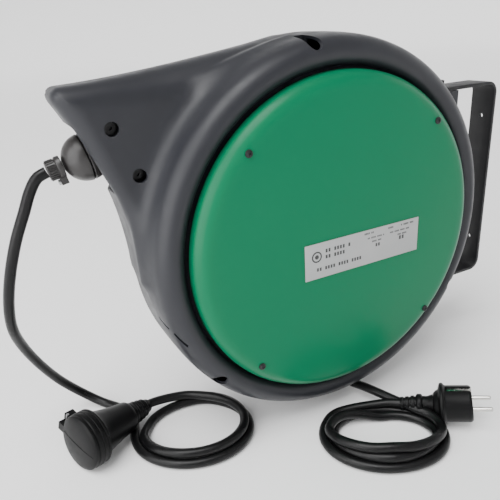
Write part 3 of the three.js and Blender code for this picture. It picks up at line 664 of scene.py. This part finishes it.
def slots():
    tools = []
    for start, end, tilt in SLOTS:
        p, q = polar(*start), polar(*end)
        angle = (start[0] + end[0]) / 2
        along = unit(*(q - p))
        lean = math.radians(tilt)
        out = polar(angle, 1) * math.cos(lean) - np.array([0, 1, 0]) * math.sin(lean)
        out = unit(*(out - along * out.dot(along)))
        axes = np.stack([along, out, np.cross(along, out)], 1)
        half = np.linalg.norm(q - p) / 2
        tools.append(moved(block(-half, half, -8, 6, -1.4, 1.4), (p + q) / 2, axes))
    return tools


def front_shell():
    posts = [moved(disc(9.5, 32, 58), polar(a, r)) for a, r in CASE_SCREWS.values()]
    shell = hollow("front_shell_skin", FRONT, posts)
    combine(shell, "UNION", *[lug(side, SPLIT_Y - 16, SPLIT_Y - SPLIT_GAP) for side in (1, -1)])
    tools = slots() + [disc(122, 0, 40, 96), mouth_hole()]
    tools += [moved(disc(6, PANEL_Y - 8, PANEL_Y + 24), (x, 0, z)) for x, z in ROLLERS.values()]
    tools += [moved(disc(6.8, -9, 35), polar(a, r)) for a, r in CASE_SCREWS.values()]
    combine(shell, "DIFFERENCE", *tools)
    return finish(shell, CASING, "reel", ["front_shell"])


def rear_shell():
    posts = [moved(disc(6, 60, 92), polar(a, r)) for a, r in CASE_SCREWS.values()]
    shell = hollow("rear_shell_skin", REAR, posts)
    combine(shell, "UNION", *[lug(side, SPLIT_Y + SPLIT_GAP, SPLIT_Y + 16) for side in (1, -1)])
    combine(shell, "DIFFERENCE", disc(10.5, 90, 140), mouth_hole())
    brow = moved(block(-40, 40, -6, 40, 0.5, 60), BALL, MOUTH_AXES)
    combine(shell, "DIFFERENCE", brow)
    return finish(shell, CASING, "reel", ["rear_shell"])


front_shell()
rear_shell()


# ---- cover, label and screws ----
def front_cover():
    profile = [(0, -10.6), (50, -10.58), (100, -10.4), (140, -10.0), (146, -9.8), (150, -9.2),
               (153.5, -7.6), (156.5, -4.9), (158.8, -2), (159.8, 0.2), (160, 2), (160, 8),
               (158.5, 8), (158.4, 1), (157, -1.6), (152, -6.6), (146, -8.3), (0, -9)]
    cover = scratch("cover_pan", lathe(profile, 160))
    tools = [moved(disc(2.3, -20, 5, 24), (x, 0, z)) for x in (-SCREW_PITCH, SCREW_PITCH)
             for z in (-SCREW_PITCH, SCREW_PITCH)]
    combine(cover, "DIFFERENCE", *tools)
    finish(cover, GREEN, "reel", ["front_cover"], 50)


def cover_screws():
    spots = [(-1, 1), (1, 1), (-1, -1), (1, -1)]
    for i, (sx, sz) in enumerate(spots):
        head = lathe([(0, -11.4), (1.2, -11.4), (1.2, -12.2), (2.4, -12), (3.3, -11.2), (3.5, -10.05),
                      (0, -10.05)], 24)
        parts = [moved(p, (sx * SCREW_PITCH, 0, sz * SCREW_PITCH)) for p in (head, disc(1.9, -10, 22, 16))]
        thing = scratch(f"cover_screw_head_{i + 1}", *parts)
        finish(thing, BLACK_STEEL, "reel", [f"cover_screw_{i + 1}"])


def label():
    """A blank plate with rows of small bars and a plain ring in place of the real print."""
    plate = scratch("rating_plate", block(-53, 85, -11.5, -10.8, -27.2, 9.1))
    bevel(plate, 0.15)
    finish(plate, LABEL, "reel", ["rating_label"])
    bars = []
    rows = [(-30, 30, -2.0, 3.6), (-30, 24, -8.2, 3.6), (-40, 58, -19.5, 3.4)]
    rows += [(16, 12, 4.6, 1.8), (44, 10, 4.6, 1.8), (62, 18, 4.6, 1.8), (20, 22, -0.6, 1.6),
             (48, 26, -0.6, 1.6), (24, 14, -4.8, 1.6), (58, 14, -4.8, 1.6), (30, 8, -10.4, 3.4),
             (60, 9, -9.8, 4.0)]
    for x, width, z, height in rows:
        step = height * 0.92
        marks = max(1, int(width / step))
        for k in range(marks):
            if (k * 7 + int(abs(x))) % 5 == 4:
                continue
            x0 = x + k * step
            bars.append(block(x0, x0 + step * 0.62, MARK_FRONT, MARK_BACK, z, z + height))
    bars.append(moved(ring(4.2, 5.6, MARK_FRONT, MARK_BACK), (-40, 0, -4.5)))
    bars.append(moved(disc(2.2, MARK_FRONT, MARK_BACK), (-40, 0, -4.5)))
    print_marks = scratch("rating_plate_marks", *bars)
    finish(print_marks, INK, "reel")


def case_screws():
    for name, (angle, r) in CASE_SCREWS.items():
        head = lathe([(0, 37.4), (2, 37.4), (2.2, 35), (4.6, 35.4), (4.6, 39.7), (1.9, 39.7), (1.9, 80),
                      (0, 80)], 24)
        thing = scratch(f"case_screw_{name}_turned", moved(head, polar(angle, r)))
        finish(thing, ZINC, "reel", [f"case_screw_{name}"])


front_cover()
cover_screws()
label()
case_screws()


# ---- wall strap ----
def wall_strap():
    bend, h, t, end = 14, STRAP_HALF_H, STRAP_T, 160
    def arc(cz, r, a0, a1):
        return [(STRAP_X - bend + r * math.cos(a), cz + r * math.sin(a))
                for a in np.linspace(math.radians(a0), math.radians(a1), 14)]
    outline = [(end, -h)] + arc(-h + bend, bend, -90, 0) + arc(h - bend, bend, 0, 90)
    outline += [(end, h), (end, h - t)] + arc(h - bend, bend - t, 90, 0)
    outline += arc(-h + bend, bend - t, 0, -90) + [(end, -h + t)]
    strap = scratch("wall_strap", prism(outline, SPLIT_Y - STRAP_W / 2, SPLIT_Y + STRAP_W / 2))
    bevel(strap, 0.6, 2, 50)
    tools = [rod((STRAP_X - 10, SPLIT_Y, z), (1, 0, 0), 2.8, 20) for z in (-80, 80)]
    tools += [rod((PIVOT_X, SPLIT_Y, z), (0, 0, 1), 4.4, 20) for z in (-130, 110)]
    combine(strap, "DIFFERENCE", *tools)
    finish(strap, BLACK_STEEL, "bracket", ["wall_bracket"])


def pivot_bolts():
    for name, sign in (("top", 1), ("bottom", -1)):
        up = (0, 0, sign)
        base = np.array([PIVOT_X, SPLIT_Y, 0.0])
        parts = [rod(base + (0, 0, sign * 90), up, 4, STRAP_HALF_H - 88, 24),
                 rod(base + (0, 0, sign * (STRAP_HALF_H + 0.3)), up, 9, 1.6, 40)]
        head = rod(base + (0, 0, sign * (STRAP_HALF_H + 2)), up, 7.4, 5, 6)
        thing = scratch(f"swivel_bolt_{name}", *parts, head)
        bevel(thing, 0.4, 2, 40)
        finish(thing, BLACK_STEEL, "bracket", [f"pivot_bolt_{name}"])


wall_strap()
pivot_bolts()


# ---- cable mouth ----
def rollers():
    for name, (x, z) in ROLLERS.items():
        profile = [(3.3, 50), (9.5, 50), (9.2, 52), (8.2, 62), (7.6, SPLIT_Y), (8.2, 86), (9.2, 96),
                   (9.5, 98), (3.3, 98), (3.3, 50)]
        thing = scratch(f"roller_{name}_turned", moved(lathe(profile, 48), (x, 0, z)))
        finish(thing, DRUM, f"roller_{name}", [f"guide_roller_{name}"])
        head = lathe([(0, 45.5), (1.8, 45.5), (1.8, 43), (5.2, 43), (5.4, 43.4), (5.4, 47.4), (3, 47.4),
                      (3, 107), (0, 107)], 32)
        screw = scratch(f"roller_{name}_screw_turned", moved(head, (x, 0, z)))
        finish(screw, BLACK_STEEL, "reel", [f"roller_screw_{name}"])


def stopper():
    axes = aim(STOPPER_DIR)
    angles = np.linspace(0, math.pi / 2, 20)
    bore = CLAMP_BORE
    for name, sign in (("outer", 1), ("inner", -1)):
        dome = [(BALL_R * math.cos(a), sign * max(0.25, BALL_R * math.sin(a))) for a in angles]
        dome = [p for p in dome if p[0] > bore + 0.4]
        edge = [(BALL_R - 1.2, sign * 0.25), (BALL_R - 0.35, sign * 0.45), (BALL_R - 0.02, sign * 1.1)]
        profile = [(bore, sign * 0.25)] + edge + [p for p in dome if abs(p[1]) > 1.3]
        profile += [(bore + 0.5, sign * 19.6), (bore, sign * 19.2), (bore, sign * 0.25)]
        half = scratch(f"stopper_{name}_dome", moved(lathe(profile, 72), BALL, axes))
        finish(half, STOPPER, "reel", [f"stopper_half_{name}"])
    ridges = []
    for k in range(26):
        a = k / 26 * 2 * math.pi
        ridges.append(moved(block(-0.7, 0.7, 26.6, 33.2, 8.0, 9.0), BALL, axes @ about_y(a)))
    collar = lathe([(bore, 20.9), (9.2, 20.9), (9.6, 21.4), (9.6, 24.6), (9.2, 25.2), (8.2, 26),
                    (8.3, 33.4), (7.8, 34), (bore, 34), (bore, 20.9)], 48)
    ear = block(-14.5, -7.5, 21.2, 27.3, -4.3, 4.3)
    nut = scratch("stopper_collar_ribbed", *[moved(p, BALL, axes) for p in (collar, ear)], *ridges)
    finish(nut, STOPPER, "reel", ["stopper_collar"])
    at = BALL + axes @ np.array([-12.2, 27.4, 0])
    screw = scratch("stopper_collar_screw", moved(lathe([(0, 0.6), (0.8, 0.6), (0.8, 1.9), (2.2, 1.9),
                    (2.4, 1.4), (2.4, 0), (0, 0)], 20), at, axes))
    finish(screw, ZINC, "reel", ["stopper_clamp_screw"])


rollers()
stopper()


# ---- rear cover and gland ----
def rear_parts():
    profile = [(0, 148), (52, 148), (52, 126.3), (56, 126.3), (56, 146), (55.2, 149.5), (52.5, 151.6),
               (49, 152), (30, 152), (28, 151.2), (0, 151.2)]
    cup = scratch("rear_cap", lathe(profile, 96))
    combine(cup, "UNION", rod((0, GLAND_Y, -48), (0, 0, -1), 12, 14, 48))
    combine(cup, "DIFFERENCE", rod((0, GLAND_Y, -40), (0, 0, -1), 8.3, 30, 40),
            block(-70, 70, 100, 126.3, -80, 70))
    finish(cup, CASING, "reel", ["rear_cover"])
    bore = CLAMP_BORE
    axes = aim((0, 0, -1), (1, 0, 0))
    nut = [(bore, 0.3), (11.6, 0.3), (11.6, 11), (10.6, 12.2), (8.6, 13.5), (8.2, 17), (7.6, 17.4),
           (7.6, 20), (7.9, 20.6), (7.1, 22), (7.1, 25), (7.3, 25.6), (6.5, 27), (6.5, 30), (6.6, 30.6),
           (6, 32), (5.9, 34), (bore, 34), (bore, 0.3)]
    body = lathe(nut, 48)
    grips = [moved(block(-0.9, 0.9, 1, 10.6, 11.2, 12.2), (0, 0, 0), about_y(a))
             for a in np.arange(18) / 18 * 2 * math.pi]
    parts = [moved(p, (0, GLAND_Y, -62), axes) for p in [body, *grips]]
    return finish(scratch("supply_gland_nut", *parts), MOULDED, "reel", ["supply_gland"])


gland = rear_parts()


# ---- socket ----
def on_socket(part):
    return moved(part, SOCKET_FACE, SOCKET_AXES)


def hinge_bore():
    return on_socket(moved(rod((0, 0, -20), (0, 0, 1), 1.9, 40), (HINGE_R, HINGE_DEPTH, 0)))


def socket():
    bore = CLAMP_BORE
    profile = [(20.4, 5), (27.6, 5), (28.6, 5.6), (29, 6.6), (29, 9.4), (28.3, 9.9), (28.3, 11.1),
               (29, 11.6), (29, 14.6), (28.3, 15.1), (28.3, 16.3), (29, 16.8), (29, 18.6), (28, 19.8),
               (25.6, 20.6), (24.4, 22.4), (22.8, 27), (20.6, 36), (18.6, 46), (17, 56), (16.6, 61),
               (16.1, 63.4), (14.8, 64.8), (13, 65), (6.3, 65), (6.3, 40), (20.4, 25), (20.4, 5)]
    body = scratch("socket_shell", on_socket(lathe(profile, 96)))
    ears = on_socket(block(24, HINGE_R + 3.2, 7, 17, -12, 12))
    combine(body, "UNION", ears)
    combine(body, "DIFFERENCE", on_socket(block(27.6, 45, 0, 14.5, -4.9, 4.9)), hinge_bore())
    finish(body, MOULDED, "reel", ["socket_body"])
    cup = lathe([(0, 37), (9, 34), (18, 26), (20, 24.2), (20, 5.3), (19.2, 4.9), (18.6, 4.9), (18.6, 21.5),
                 (0, 21.5)], 64)
    insert = scratch("socket_well", on_socket(cup))
    holes = [on_socket(moved(disc(2.6, 10, 34, 32), (x, 0, 0))) for x in (-9.5, 9.5)]
    combine(insert, "DIFFERENCE", *holes)
    finish(insert, MOULDED, "reel", ["socket_insert"])
    strips = [on_socket(block(-2.5, 2.5, 7, 21, s * 16.6 - 0.6, s * 16.6 + 0.6)) for s in (-1, 1)]
    finish(scratch("socket_earth_strips", *strips), NICKEL, "reel")
    boot = [(bore, 66), (12.3, 66), (12.8, 66.6), (12.8, 69), (12.2, 69.8), (11.4, 70.2), (11.4, 72),
            (12, 72.6), (12, 74.6), (11.4, 75.2), (10.6, 75.6), (10.6, 77.4), (11, 78), (11, 80),
            (10.4, 80.6), (9.6, 81), (9.6, 83), (9.9, 83.6), (9.9, 85.2), (9.2, 86), (8.2, 86.6),
            (7.6, 90), (7, 91.6), (bore, 92), (bore, 66)]
    relief = scratch("socket_boot", on_socket(lathe(boot, 64)))
    finish(relief, MOULDED, "reel", ["socket_strain_relief"])
    pin = scratch("socket_hinge_pin", on_socket(moved(rod((0, 0, -11.8), (0, 0, 1), 1.5, 23.6),
                                                      (HINGE_R, HINGE_DEPTH, 0))))
    finish(pin, STEEL, "reel", ["socket_lid_pin"])
    return body, insert, relief, pin


def socket_lid():
    dome = lathe([(0, -1.6), (10, -1.45), (18, -0.9), (24, 0), (27, 1), (28.3, 2), (28.6, 3.2), (28.6, 4.4),
                  (0, 4.4)], 96)
    lid = scratch("socket_flap", on_socket(dome))
    knuckle = moved(rod((0, 0, -4.5), (0, 0, 1), 3.4, 9), (HINGE_R, HINGE_DEPTH, 0))
    neck = block(HINGE_R - 2.2, HINGE_R + 3, 0.6, HINGE_DEPTH - 1, -4.5, 4.5)
    arm = block(22, HINGE_R + 1, 0.6, 4.3, -4.5, 4.5)
    crest = [(x, -1.95 + 1.6 * (abs(x) / 24) ** 2.2) for x in np.linspace(-24, 24, 17)]
    ridge = prism([*crest, (24, 2), (-24, 2)], -0.5, 0.5)
    ridge = ridge[0][:, [0, 2, 1]], ridge[1]
    combine(lid, "UNION", *[on_socket(p) for p in (arm, neck, knuckle, ridge)])
    combine(lid, "DIFFERENCE", hinge_bore())
    finish(lid, MOULDED, "lid", ["socket_lid"])
    return lid


socket_pieces = [*socket(), socket_lid()]


# ---- plug ----
def on_plug(part):
    return moved(part, PLUG_START, PLUG_AXES)


def plug():
    profile = [(0, 34.5), (10, 34.5), (11.4, 35.4), (13, 37), (14.6, 39.6), (19.8, 41.2), (21.2, 42),
               (21.5, 43), (21.5, 44.4), (20.8, 45.4), (19.3, 46.4), (18.8, 47.4), (18.8, 70), (18.3, 71.8),
               (17, 73), (0, 73)]
    body = scratch("plug_shell", on_plug(lathe(profile, 96)))
    tools = [on_plug(block(*sorted((s * 15.4, s * 22)), 48, 76, -3.4, 3.4)) for s in (-1, 1)]
    combine(body, "DIFFERENCE", *tools)
    finish(body, MOULDED, "reel", ["plug_body"])
    pieces = [body]
    for i, sign in enumerate((1, -1)):
        sleeve = lathe([(0, 73.3), (2.4, 73.3), (2.4, 90.6), (2.1, 91.8), (1.3, 92.3), (0, 92.3)], 28)
        pin = scratch(f"plug_pin_{i + 1}_round", on_plug(moved(sleeve, (0, 0, sign * 9.5))))
        finish(pin, NICKEL, "reel", [f"plug_pin_{i + 1}"])
        near, far = sorted((sign * 15.9, sign * 17.4))
        strip = scratch(f"plug_earth_{i + 1}_strip", on_plug(block(near, far, 49, 73, -2.8, 2.8)))
        bevel(strip, 0.4)
        finish(strip, NICKEL, "reel", [f"plug_earth_strip_{i + 1}"])
        pieces += [pin, strip]
    bore = CLAMP_BORE
    boot = [(bore, 0.3), (6.4, 0.3), (6.8, 0.8), (6.9, 3.4), (6.2, 4), (6.2, 5.4), (7.3, 6), (7.5, 9),
            (6.8, 9.6), (6.8, 11), (8.1, 11.6), (8.3, 14.8), (7.4, 15.4), (7.4, 16.8), (9.2, 17.4),
            (10, 18.6), (10, 22), (9.2, 23.2), (7.8, 23.8), (7.8, 29), (8.6, 31), (9.6, 34.2),
            (bore, 34.2), (bore, 0.3)]
    relief = scratch("plug_boot", on_plug(lathe(boot, 64)))
    finish(relief, MOULDED, "reel", ["plug_strain_relief"])
    return [*pieces, relief]


plug_pieces = plug()

# ---- what stays from the CAD model ----
KEPT = {
    DRUM: ["drum_hub", "drum_flange_front", "drum_flange_rear", "brush_holder"],
    RUBBER: ["cable_winding", "inner_lead"],
    STEEL: ["spring_case", "spring_case_cover", "mainspring", "main_shaft", "ratchet_wheel", "pawl",
            "pawl_pin"],
    NYLON: ["shaft_bush_front", "shaft_bush_rear"],
    BRASS: ["slip_ring_1", "slip_ring_2", "slip_ring_3", "brush_1", "brush_2", "brush_3"],
}
for material, names in KEPT.items():
    for name in names:
        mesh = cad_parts[name].data
        mesh.materials.clear()
        mesh.materials.append(material)


# ---- stage ----
def stage():
    """A round pale floor whose far edge sweeps up into a wall."""
    z = FLOOR_Z / 1000 - 0.0005
    bend = [(7 + 3 * math.sin(a), 3 - 3 * math.cos(a)) for a in np.linspace(0, math.pi / 2, 12)]
    rings = [(0.5, 0), (2, 0), (4, 0), *bend, (10, 7)]
    count = 64
    angles = np.arange(count) / count * 2 * math.pi
    points = [(r * math.cos(a), r * math.sin(a), z + h) for r, h in rings for a in angles]
    faces = [(i * count + j, (i + 1) * count + j, (i + 1) * count + (j + 1) % count,
              i * count + (j + 1) % count) for i in range(len(rings) - 1) for j in range(count)]
    mesh = bpy.data.meshes.new("floor")
    mesh.from_pydata(points, [], [tuple(range(count)), *faces])
    mesh.polygons.foreach_set("use_smooth", [True] * len(mesh.polygons))
    floor = bpy.data.objects.new("floor", mesh)
    bpy.context.scene.collection.objects.link(floor)
    white = Nodes("floor_white")
    white.bsdf.inputs["Base Color"].default_value = (0.97, 0.97, 0.97, 1)
    white.bsdf.inputs["Roughness"].default_value = 1.0
    mesh.materials.append(white.material)
    world = bpy.data.worlds.new("studio")
    world.use_nodes = True
    world.node_tree.nodes["Background"].inputs[0].default_value = (1, 1, 1, 1)
    world.node_tree.nodes["Background"].inputs[1].default_value = 0.5
    bpy.context.scene.world = world


def lamp(name, at, target, size, power):
    data = bpy.data.lights.new(name, "AREA")
    data.shape = "RECTANGLE"
    data.size, data.size_y = size
    data.energy = power
    thing = bpy.data.objects.new(name, data)
    thing.location = at
    thing.rotation_euler = (Vector(target) - Vector(at)).to_track_quat("-Z", "Y").to_euler()
    bpy.context.scene.collection.objects.link(thing)


def sun(name, source, strength, spread):
    data = bpy.data.lights.new(name, "SUN")
    data.energy = strength
    data.angle = math.radians(spread)
    thing = bpy.data.objects.new(name, data)
    thing.rotation_euler = Vector(source).to_track_quat("Z", "Y").to_euler()
    bpy.context.scene.collection.objects.link(thing)


stage()
sun("sky", (-0.34, -0.22, 1), 3.0, 40)
lamp("left", (-1.7, -0.4, 0.5), (-0.35, 0, 0), (1.4, 1.5), 26)
